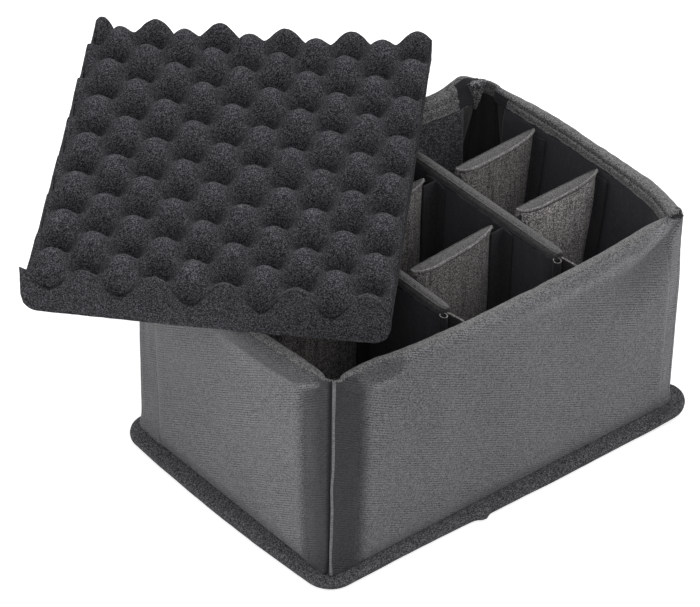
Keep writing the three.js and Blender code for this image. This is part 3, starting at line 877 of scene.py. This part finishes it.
def rounded_rect(half_x, half_y, radius, count, straight):
    """Points round a rectangle with round corners, with outward directions.

    count is the number of steps round a corner, straight that along the long and the short sides."""
    centres = np.array([(1, 1), (-1, 1), (-1, -1), (1, -1)]) * (half_x - radius, half_y - radius)
    points, directions = [], []
    for quarter in range(4):
        for k in range(count + 1):
            a = quarter * math.pi / 2 + (math.pi / 2) * k / count
            directions.append((math.cos(a), math.sin(a)))
            points.append(centres[quarter] + radius * np.array(directions[-1]))
        # straight run to the next corner
        start = points[-1]
        stop = centres[(quarter + 1) % 4] + radius * np.array(directions[-1])
        steps = straight[quarter % 2]
        for k in range(1, steps):
            points.append(start + (stop - start) * (k / steps))
            directions.append(directions[-1])
    return np.array(points), np.array(directions)


LAP = 6.0
# the binding's section, as (distance out from the walls, height) rows, goes round the track
track, directions = rounded_rect(LENGTH / 2, WIDTH / 2, 8.0, 14, (120, 80))
section = [(-LAP, 0.0), (-2.0, 0.0), (0.5, 0.0), (2.5, 0.0), (4.6, 0.35), (5.7, 1.5), (6.0, 3.2), (5.6, 4.8),
           (4.4, 5.8), (2.6, 6.4), (1.0, 6.75), (0.0, 6.9), (-1.5, 7.0), (-LAP, 7.0)]


def spread(p, d):
    """How much further than its section the binding reaches: it is slack, and bows out along its sides."""
    front = 2.6 + 2.8 * ((p[0] + LENGTH / 2) / LENGTH) ** 2 + 0.7 * math.sin(p[0] / 34.0 + 1.0)
    back_share = (p[1] + WIDTH / 2) / WIDTH
    left = 2.4 + 1.2 * back_share + 2.9 * math.sin(math.pi * min(1, max(0, back_share)))
    weights = np.array([max(0, -d[1]), max(0, -d[0]), max(0, d[0]) + max(0, d[1])]) ** 2
    return float(weights @ np.array([front, left, 3.2]) / weights.sum())


rings, cloth, run = [], [], 0.0
for k, (p, d) in enumerate(zip(track, directions)):
    if k:
        run += float(np.hypot(*(p - track[k - 1])))
    where = np.array([[p[0], p[1], 0.0]])
    swell = 0.35 * float(noise(where, 24.0, 2)[0]) + 0.2 * float(noise(where, 7.0, 6)[0])
    # the lapped ends on the front side, and the front right corner, which curls up
    lap = 2.6 * bump(p[0], -23.0, 3.2) if d[1] < -0.9 else 0.0
    curl = bump(np.hypot(p[0] - LENGTH / 2, p[1] + WIDTH / 2), 0, 17.0)
    ring = []
    for o, z in section:
        loose = smooth((o + 1) / 4)
        out = o + (swell + lap + 3.2 * curl + spread(p, d)) * loose
        height = z + (0.35 * swell * loose if z > 0.2 else 0) + 4.6 * curl * smooth((o - 1) / 4)
        ring.append((*(p + d * out), height))
    rings.append(ring)
    cloth.append([(run, o, z) for o, z in section])
rings_object(
    "base_knit_binding", rings, KNIT, "insert", cloth, ("base_binding",), closed_rows=True
)


def panel_piece(name, low, high, replaces, lumps):
    """A flat sheet of loop cloth over the whole base, with a lumpy upper side."""
    half_x, half_y = 123.5, 81.0
    X, Y = np.meshgrid(np.linspace(-half_x, half_x, 84), np.linspace(-half_y, half_y, 56), indexing="ij")
    P = stack(X, Y, np.zeros_like(X))
    top = high + lumps * (0.5 * noise(P, 26.0, 3) + 0.5 * noise(P, 6.0, 5)) - lumps
    rings = two_sides(stack(X, Y, top), stack(X, Y, np.full_like(X, low)))
    return rings_object(name, rings, LOOP, "insert", rings, replaces)


panel_piece("floor_loop_lining", BASE - 1.2, BASE, ("floor_lining",), 0.12)
panel_piece("underside_cloth_panel", 0.0, 0.8, ("base_underside_cloth",), 0.05)

# Dividers


def divider_slab(name, low, high, across, top, width_at, crown, direction, face_cloth, body, seed, replaces,
                 crown_side_shade=0.12):
    """A padded slab between low(z) and high(z), which are its ends along direction.

    across(u) is the sideways place of its middle. width_at(t) gives how far it reaches to its two sides at a
    share t of its length, and crown the section of its top as (share across from -1 to 1, height) rows."""
    t = np.linspace(0, 1, 76)
    t = 0.5 - 0.5 * np.cos(math.pi * t) * (1 - 0.25 * np.sin(math.pi * t) ** 2)
    first, last = width_at(t)
    levels = np.concatenate([[BASE + GAP, BASE + 1.5], np.linspace(BASE + 4, top - 42, 14),
                             np.linspace(top - 40, top - 4.2, 30)])
    share = np.concatenate([-np.ones(len(levels)), crown[:, 0], np.ones(len(levels))])
    z = np.concatenate([levels, top + crown[:, 1], levels[::-1]])
    ends = np.array([(low(min(h, top - 4.0)), high(min(h, top - 4.0))) for h in z])
    along = ends[None, :, 0] + t[:, None] * (ends[:, 1] - ends[:, 0])[None, :]
    side = np.where(share[None, :] < 0, share[None, :] * first[:, None], share[None, :] * last[:, None])
    heights = np.broadcast_to(z, along.shape)
    P = stack(along, side + seed * 40, heights * 0.4)
    swell = 0.55 * noise(P, 17.0, seed) + 0.25 * noise(P, 6.0, seed + 2)
    # a few upright folds, deeper towards the ends
    P[..., 2] = heights * 0.12
    swell = swell + 0.5 * noise(P, 5.0, seed + 5) * (0.35 + np.abs(2 * t - 1)[:, None] ** 2)
    if direction == "y":
        # the short dividers' tapes slide along these faces
        swell = np.minimum(swell, 0.55)
    face = np.clip(np.abs(share) * 1.6 - 0.6, 0, 1)[None, :] * smooth((top - 2 - heights) / 6)
    side = side + np.sign(share)[None, :] * swell * face
    sideways = side + across(along)
    world = stack(along, sideways, heights) if direction == "x" else stack(sideways, along, heights)
    # painted light on a round crown: a painted highlight along its middle and painted shade at its sides
    painted_crown_light = 1.12 - crown_side_shade * np.abs(share) ** 1.6
    cloth = stack(along, heights + side, np.broadcast_to(painted_crown_light, along.shape))
    obj = rings_object(name, world, face_cloth, body, cloth, replaces)
    obj.data.materials.append(RIDGE)
    foot = len(levels)
    paint(obj, world.shape[1], lambda column, row: foot < column < foot + len(crown) - 2)
    return world, foot


def ribbon(name, path_at, low, high, thickness, body, seed, replaces=(), sway=0.3, edge_cloth=None):
    """An upright strip of tape whose plan at height z is path_at(z), with its woven edge on top."""
    levels = np.concatenate([np.linspace(low, high - 12, 8), np.linspace(high - 10, high, 9)])
    paths = np.array([path_at(z) for z in levels])
    tangent = unit(np.gradient(paths, axis=1))
    normal = stack(-tangent[..., 1], tangent[..., 0])
    z = np.repeat(levels[:, None], paths.shape[1], axis=1)
    P = np.concatenate([paths, z[..., None]], -1)
    z = z + 0.8 * noise(P * np.array([1, 1, 0.02]), 7.0, seed) * smooth((z - low - 20) / 40)
    middle = paths + (sway * noise(P, 9.0, seed + 3))[..., None] * normal
    first, second = [
        np.concatenate([middle + normal * half, z[..., None]], -1) for half in (thickness / 2, -thickness / 2)
    ]
    crest = (first[-1] + second[-1]) / 2 + np.array([0, 0, 0.35])
    rings = np.concatenate([first, crest[None], second[::-1]], axis=0).transpose(1, 0, 2)
    obj = rings_object(name, rings, HOOK, body, rings, replaces)
    obj.data.materials.append(edge_cloth or HOOK)
    last = len(levels) - 1
    paint(obj, rings.shape[1], lambda column, row: last <= column <= last + 1)
    return obj


def hook_tab(name, node, body, direction, sign, root, start, reach, top, seed, bow, edge_cloth=None):
    """The tape at one end of a divider: a strip out of the padding, and the pad of hooks sewn to it.

    root is the place of the padding's middle at this end across the divider, start(z) where the padding ends
    and reach(side, z) the face that the pad lies on."""
    low = BASE + GAP

    def plan(along, side):
        return stack(along, side) if direction == "x" else stack(side, along)

    def web(z):
        t = np.linspace(0, 1, 15)
        begin, finish = start(z) - sign * 2.0, reach(0.0, z) - sign * (TAB + 0.3)
        side = root + bow * np.sin(math.pi * t) * np.sin(2.2 * t)
        return plan(begin + (finish - begin) * t, side)

    def pad(z):
        s = np.linspace(-TAB_WIDTH / 2, TAB_WIDTH / 2, 13)
        lift = 0.6 + TAB / 2 + 0.5 * (np.abs(s) / (TAB_WIDTH / 2)) ** 4
        return plan(np.array([reach(v, z) for v in s]) - sign * lift, root + s)

    ribbon(f"{name}_strip", web, low, top, 1.3, body, seed, (node,), 0.0, edge_cloth)
    ribbon(f"{name}_hooks", pad, low, top, TAB - 0.2, body, seed + 1, (), 0.0)


def wall_reach(wall, s, z, travel=0.0):
    """How far from the middle the wall's inner face is, where it is nearest within a divider's travel."""
    s = np.abs(s) + travel
    return wall.offset - THICK + wall.belly(s, z) + wall.pressed(s, z)


TAB, TAB_WIDTH = 1.2, 16.0
END_GAP = 11.0
ROUND_CROWN = np.array([
    (math.sin(a) if abs(a) < 1.45 else math.copysign(1.0, a), 4.6 * (math.cos(a) - 1))
    for a in np.linspace(-1.5, 1.5, 17)
])
FLAT_CROWN = np.array([
    (-1.0, -2.6), (-1.0, -1.4), (-0.95, -0.5), (-0.84, -0.15), (-0.68, -0.35), (-0.35, -0.1), (0.0, 0.0),
    (0.35, -0.1), (0.7, -0.3), (0.88, -0.6), (0.97, -1.3), (1.0, -2.6),
])


def slim_ends(t):
    """Reach to both sides of a long divider, which thins out only at its ends."""
    away = np.minimum(t, 1 - t) * 2 * (WIDTH / 2 - THICK - END_GAP)
    reach = 0.9 + (DIVIDER / 2 - 0.9) * rounded(away / 9.0)
    return reach, reach


def lens(t):
    """Reach to the front and to the back of a short divider: straight behind, full in front, pointed ends."""
    pointed = (1 - np.maximum(0, 1 - (1 - t) / 0.5) ** 2) ** 0.62
    full = np.minimum(rounded(t / 0.24), pointed)
    return -3.0 + 0.8 * (1 - t) + 7.6 * full, 4.1 + 0.5 * full


def bead(name, line, radius, material, body, seed):
    """A thin cord or seam along a line."""
    rings = sweep(line, radius, radius * 0.9, 9, seed, 0.22, 3.0)
    cloth = stack(rings[..., 0] + rings[..., 1], rings[..., 2], np.full_like(rings[..., 0], 0.85))
    rings_object(name, rings, material, body, cloth)


# the functions in the next two loops are called only within the same turn of the loop
end = WIDTH / 2 - THICK - END_GAP
for number, side in enumerate(("left", "right")):
    name, x = f"long_divider_{side}", LONG_X[side]
    world, first = divider_slab(
        f"{name}_pad", lambda z: -end, lambda z: end, lambda u: x + 0 * u, LONG_TOP, slim_ends, ROUND_CROWN,
        "y", SIDE_LOOP, "insert", 3 + number, (f"{name}_cover", f"{name}_foam"), 0.8,
    )
    bead(f"{name}_ridge_seam", world[2:-2, first + 5] + np.array([0, 0, -0.1]), 0.5, RIDGE, "insert", number)
    for tag, sign in (("front", -1), ("back", 1)):
        hook_tab(
            f"{name}_{tag}_tape", f"{name}_{tag}_tab", "insert", "y", sign, x, lambda z: sign * end,
            lambda s, z: sign * float(wall_reach(WALLS[tag], x + s, z)), LONG_TOP - 3.4,
            30 + 4 * number + sign, 1.6, PIPING,
        )

        def curl(z):
            """The end of the tape, which runs on a little and then curls."""
            t, radius = np.linspace(0, 1, 17), 2.4
            turn = math.radians(255) * np.clip((t - 0.35) / 0.65, 0, 1)
            side_at = x - 1.8 - radius * (1 - np.cos(turn)) * 0.9
            out = end - 2.0 + 9.0 * np.minimum(t, 0.35) + radius * np.sin(turn)
            return stack(side_at, sign * out)

        ribbon(
            f"{name}_{tag}_curled_hem", curl, LONG_TOP - 46, LONG_TOP - 3.0, 0.7, "insert", 40 + number,
            (), 0.1, PIPING,
        )

# name, share of the width at which its middle is, turn in degrees, and the gaps at its two ends
SHORT = [
    ("left_front", -0.006, 2.0, (4.0, 3.0)),
    ("left_back", 0.24, -1.0, (4.0, 4.0)),
    ("middle_front", -0.138, 4.3, (3.0, 8.6)),
    ("middle_back", 0.212, 2.0, (4.0, 9.0)),
    ("right_front", -0.104, 1.4, (4.4, 1.0)),
    ("right_back", 0.202, 3.0, (3.6, 1.0)),
]
TRAVEL = 10.0
for number, (place, share, turn, gaps) in enumerate(SHORT):
    name, column = f"short_divider_{place}", place.split("_")[0]
    y, skew = share * WIDTH, math.tan(math.radians(turn))

    def low(z, s=0.0):
        if column == "left":
            return -float(wall_reach(WALLS["left"], y + s, z, TRAVEL))
        return LONG_X["left" if column == "middle" else "right"] + DIVIDER / 2

    def high(z, s=0.0):
        if column == "right":
            return float(wall_reach(WALLS["right"], y + s, z, TRAVEL))
        return LONG_X["left" if column == "left" else "right"] - DIVIDER / 2

    middle = (low(BASE + GAP) + high(BASE + GAP)) / 2

    def across(u):
        return y + (u - middle) * skew

    # the right front divider's face takes the lighter copy of the face cloth, as painted light
    world, first = divider_slab(
        f"{name}_pad", lambda z: low(z) + gaps[0], lambda z: high(z) - gaps[1], across, SHORT_TOP, lens,
        FLAT_CROWN, "x", FACE_PAINTED_LIT if place == "right_front" else FACE, name, 10 + number,
        (f"{name}_cover", f"{name}_foam"),
    )
    edge = world[:, first + 3] + np.array([0, 0, 0.1])
    blunt_end = world[0, first + 3:first + 9]
    bead(f"{name}_front_bead", np.concatenate([blunt_end[:0:-1], edge]), 0.85, PIPING, name, number + 3)
    bead(f"{name}_back_seam", world[1:-1, first + 9], 0.5, RIDGE, name, number + 9)
    tab_top = SHORT_TOP - 3.2
    for tag, sign, face, gap in (("left", -1, low, gaps[0]), ("right", 1, high, gaps[1])):
        hook_tab(
            f"{name}_{tag}_tape", f"{name}_{tag}_tab", name, "x", sign, across(face(tab_top) - sign * gap),
            lambda z: face(z) - sign * gap, lambda s, z: face(z, s), tab_top, 50 + 2 * number, 0.3,
        )

# Foam pad


def foam_pad():
    """The egg-crate pad: peaks and pits in a slanting grid over a flat back, cut square, laid on askew."""
    side, far = PAD_W / 2, PAD_L / 2
    turn_cos, turn_sin = math.cos(PAD_TURN), math.sin(PAD_TURN)
    X, Y0 = np.meshgrid(np.linspace(-side, side, 128), np.linspace(-far, far, 168), indexing="ij")
    from_left, from_back, from_front = X + side, far - Y0, Y0 + far
    # 0 at the back end of the pad, 1 at the near one
    near = from_back / PAD_L
    # the left side was cut on a slant, which runs out towards the near corner
    slant = 3.4 * (1 - smooth(from_left / 22)) * smooth((from_front - 6) / 26)
    Y = Y0 + 5.5 * near * (-X / PAD_W)
    squeezed = 8.0 * smooth((26 - from_left) / 26) * smooth((34 - from_back) / 34)
    u = 2 * math.pi * (X + slant + side - 18.0 - 1.8 + 4.4 * near - squeezed) / PAD_PITCH
    v = 2 * math.pi * (Y - far + 55.0) / PAD_PITCH
    shaped = 1 - 2 * ((1 - np.cos(u) * np.cos(v)) / 2) ** 1.12
    P = stack(X, Y, np.zeros_like(X))
    wear_and_painted_light = 1 + 0.12 * noise(P, 60.0, 5)
    rise = 1 + 0.14 * smooth((30 - from_back) / 30)
    top = 23.9 - 2.2 * (1 - np.abs(Y0 / far) ** 3) + 8.8 * shaped * wear_and_painted_light * rise
    top = top + 0.5 * noise(P, 24.0, 1) + 0.22 * noise(P, 3.2, 2) + 0.16 * noise(P, 1.9, 6)
    # the cut edges of the top are a little rounded, most of all on the left
    top = top - 1.6 * smooth((from_front - 6) / 26) * (1 - rounded(from_left / 4.0))
    edge = np.minimum(np.minimum(side - X, from_front), from_back)
    top = top - 0.9 * (1 - rounded(edge / 1.6))
    # the underside is rounded off along its two long edges
    bottom = 0.15 + 0.12 * noise(P, 5.0, 4)
    bottom = bottom + 10 * (1 - rounded(np.minimum(from_left, side - X) / 10))
    # the back end droops where it lies beyond the rim, and the left corner in front is lifted a little
    beyond = PAD_CENTRE[1] + X * turn_sin + Y0 * turn_cos - WIDTH / 2 - BOW
    droop = np.maximum(0, 75.0 - from_back) / 75.0
    fall = 6.5 * droop**2 * np.minimum(1, np.maximum(0, beyond) / 60.0)
    fall = fall - 2.0 * near**2 * np.maximum(0, -X / side)
    layers = 9
    shares = [k / layers for k in range(layers + 1)]
    sheets = np.array([stack(X + slant * t, Y, bottom + (top - bottom) * t - fall) for t in shares])
    # painted shade for the pits, which the foam material reads: 0 in the pits, 1 on the peaks, and a middle
    # value on the underside and the cut faces
    pit_shade_level = np.array([np.full_like(shaped, 0.6)] * layers + [(shaped + 1) / 2])
    # only the points on the surface are kept
    on_surface = np.zeros(sheets.shape[:3], bool)
    for end in (0, -1):
        on_surface[end], on_surface[:, end], on_surface[:, :, end] = True, True, True
    index = np.full(on_surface.shape, -1)
    index[on_surface] = np.arange(on_surface.sum())
    verts, pit_shade_level = sheets[on_surface], pit_shade_level[on_surface]

    def quads(grid):
        return stack(grid[:-1, :-1], grid[1:, :-1], grid[1:, 1:], grid[:-1, 1:]).reshape(-1, 4)

    faces = np.concatenate([
        quads(index[-1]), quads(index[0])[:, ::-1], quads(index[:, :, 0]), quads(index[:, :, -1])[:, ::-1],
        quads(index[:, 0])[:, ::-1], quads(index[:, -1]),
    ])
    # cut faces are a little ragged
    cut = (np.abs(np.abs(verts[:, 1]) - far) < 5) | (np.abs(verts[:, 0]) > side - 6)
    rough = 0.2 * noise(verts, 2.0, 7) + 0.3 * noise(verts, 14.0, 9)
    x = verts[:, 0] + np.where(cut, rough, 0)
    y = verts[:, 1] + np.where(cut, rough[::-1], 0)
    verts = stack(PAD_CENTRE[0] + x * turn_cos - y * turn_sin, PAD_CENTRE[1] + x * turn_sin + y * turn_cos,
                  verts[:, 2] + RIM + GAP)
    cells = stack(verts[:, 0], verts[:, 1], pit_shade_level)
    obj = make("egg_crate_foam_pad", verts, faces, FOAM, "foam_pad", cells, ("foam_pad",))


foam_pad()

# Carried-over CAD nodes
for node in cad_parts.values():
    if not node.hide_render:
        node.data.materials.clear()
        node.data.materials.append(BOARD)

# Camera, fitted to the corners of the walls and to the peaks of the foam


def towards(azimuth, elevation):
    """The direction from the object to an azimuth, seen from above, and an elevation."""
    flat = math.cos(elevation)
    return Vector((math.sin(azimuth) * flat, -math.cos(azimuth) * flat, math.sin(elevation)))


ROLL, DISTANCE, TARGET = 0.02076, 2507.78, Vector((-16.506, 33.715, 75.0))
FOCAL_PIXELS, PICTURE_WIDTH, SENSOR = 4300.0, 700.0, 36.0
back = towards(-0.70036, 0.63723)
right = (-back).cross(Vector((0, 0, 1))).normalized()
up = right.cross(-back)
level = right * math.cos(ROLL) + up * math.sin(ROLL)
upright = up * math.cos(ROLL) - right * math.sin(ROLL)
camera_data = bpy.data.cameras.new("camera")
camera_data.sensor_width = SENSOR
camera_data.lens = SENSOR * FOCAL_PIXELS / PICTURE_WIDTH
camera_data.clip_start, camera_data.clip_end = 0.05, 50.0
camera = in_scene("camera", camera_data)
basis = Matrix((level, upright, back)).transposed().to_4x4()
basis.translation = (TARGET + back * DISTANCE) * MM
camera.matrix_world = basis
bpy.context.scene.camera = camera

# Stage and light


def glow(nodes, kind, color, strength):
    return nodes.add(kind, 0, {"Color": (*color, 1), "Strength": strength})


def seen_as(nodes, seen, otherwise):
    """Shows one shader to the rays that show the background, which come straight from the camera or by way of
    gloss or glass, and another to the rays that light the object."""
    total = nodes.add("LightPath", "Is Camera Ray", {})
    path = total.socket.node
    for kind in ("Is Glossy Ray", "Is Transmission Ray"):
        total = (total + path.outputs[kind]).clamped()
    return nodes.add("MixShader", 0, {0: total, 1: otherwise, 2: seen})


BLACK, WHITE, PALE_BLUE = (0, 0, 0), (1, 1, 1), (0.95, 0.97, 1.0)
STAGE_GLOW, STAGE_REACH, STAGE_LEVEL = 0.72, 6.0, -0.0006
stage = Nodes(bpy.data.materials.new("pale_stage"))
shown = seen_as(stage, glow(stage, "Emission", WHITE, STAGE_GLOW), glow(stage, "Emission", BLACK, 0.0))
lit = stage.look((0.7, 0.7, 0.7, 1), 0.9)
floor_mesh = bpy.data.meshes.new("floor")
corners = [(x * STAGE_REACH, y * STAGE_REACH, STAGE_LEVEL) for x, y in ((-1, -1), (1, -1), (1, 1), (-1, 1))]
floor_mesh.from_pydata(corners, [], [(0, 1, 2, 3)])
floor_mesh.materials.append(stage.finish(stage.add("AddShader", 0, {0: lit, 1: shown})))
in_scene("floor", floor_mesh)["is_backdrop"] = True

bpy.context.scene.world = bpy.data.worlds.new("world")
sky = Nodes(bpy.context.scene.world)
shown = seen_as(sky, glow(sky, "Background", WHITE, 1.0), glow(sky, "Background", PALE_BLUE, 0.5))
sky.finish(shown, "World")

# name, azimuth and elevation in degrees, distance, width, height, power, and the point it is aimed at
MIDDLE = (0.0, 0.03, 0.08)
for name, azimuth, elevation, distance, width, height, power, aim in (
    ("right_softbox", 42, 40, 1.7, 1.2, 1.2, 6, MIDDLE),
    ("left_softbox", -102, 16, 0.65, 0.5, 0.5, 1.08, (-0.13, -0.085, 0.05)),
    ("front_softbox", -40, 42, 2.6, 1.2, 1.2, 8.5, MIDDLE),
    ("top_softbox", -40, 80, 1.8, 1.5, 1.5, 5, MIDDLE),
    ("back_softbox", 146, 30, 1.8, 1.4, 1.0, 10.5, MIDDLE),
):
    data = bpy.data.lights.new(name, "AREA")
    data.shape = "RECTANGLE"
    data.size, data.size_y, data.energy = width, height, power
    light = in_scene(name, data)
    direction = towards(math.radians(azimuth), math.radians(elevation))
    light.location = Vector(aim) + direction * distance
    light.rotation_euler = direction.to_track_quat("Z", "Y").to_euler()

bpy.context.scene.view_settings.view_transform = "Standard"

low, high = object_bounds()
